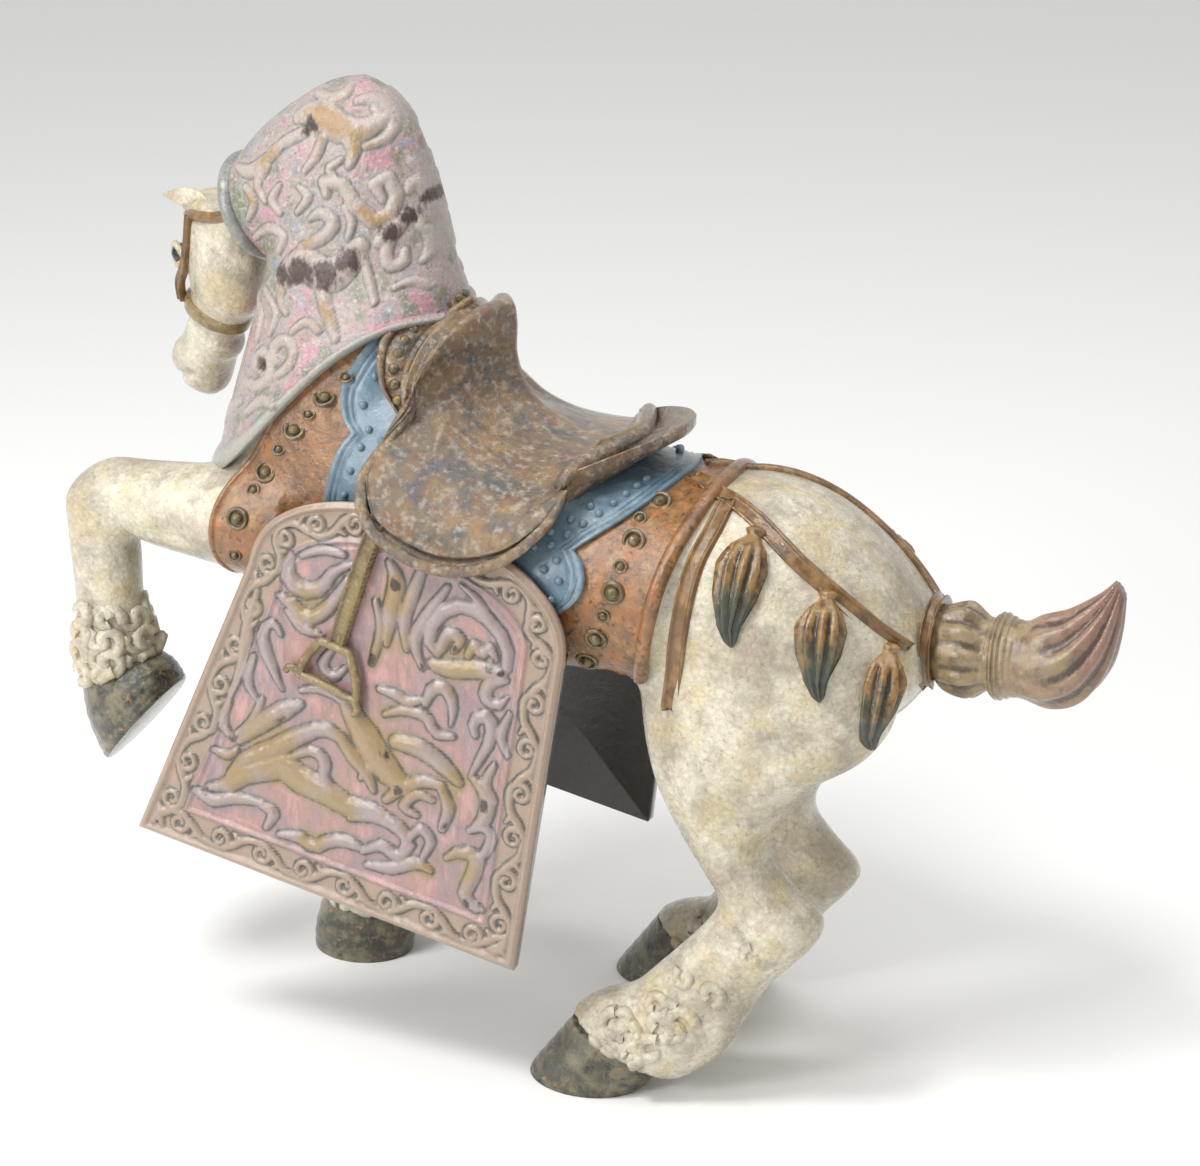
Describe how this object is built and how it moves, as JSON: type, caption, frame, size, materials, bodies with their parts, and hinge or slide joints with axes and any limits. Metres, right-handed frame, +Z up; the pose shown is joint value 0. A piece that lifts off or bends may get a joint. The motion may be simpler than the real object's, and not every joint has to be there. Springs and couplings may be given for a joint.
{
  "type": "horse figurine",
  "caption": "Glazed porcelain figurine of a saddled, prancing horse with a hooded neck cover, arched side flaps in relief and a tasselled harness, standing on its hooves",
  "frame": {"origin": "middle of the bounding box in plan, at the level of the soles the figurine stands on", "axes": "the horse faces -X, +Y is its right side, +Z is up"},
  "size_m": [0.5, 0.1794, 0.451],
  "materials": {
    "glazed_body": "glossy cream, rose, amber and blue glazes over cast relief"
  },
  "bodies": {
    "root": {"horse_figurine": "glazed_body"}
  },
  "joints": []
}
